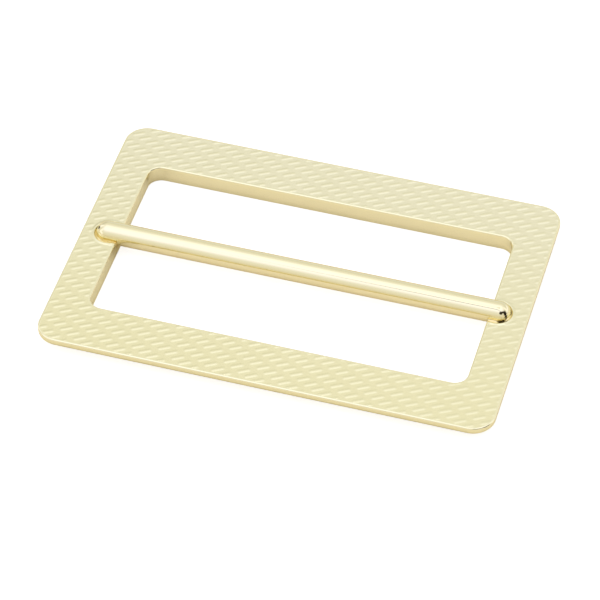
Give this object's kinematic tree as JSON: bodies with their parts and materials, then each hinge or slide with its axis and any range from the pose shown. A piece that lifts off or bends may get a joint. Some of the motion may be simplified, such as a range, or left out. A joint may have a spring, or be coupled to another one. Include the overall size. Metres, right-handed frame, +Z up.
{
  "type": "strap slider",
  "caption": "Flat rectangular metal strap slider with a bevelled back and a round centre bar set into pockets in its short rails.",
  "frame": {"origin": "centre of the frame's flat underside", "axes": "+X along the long rails and the centre bar, +Y across the rails in the plane of the frame, +Z up through the patterned face that the bar lies in"},
  "size_m": [0.0602, 0.0412, 0.0038],
  "materials": {
    "patterned_gold": "satin pale gold plating over a zinc casting",
    "polished_gold": "polished pale gold plating over a steel rod",
    "plated_solder": "dull pale gold plating over solder"
  },
  "bodies": {
    "root": {"frame": "patterned_gold", "bar": "polished_gold", "left_solder": "plated_solder", "right_solder": "plated_solder"}
  },
  "joints": []
}
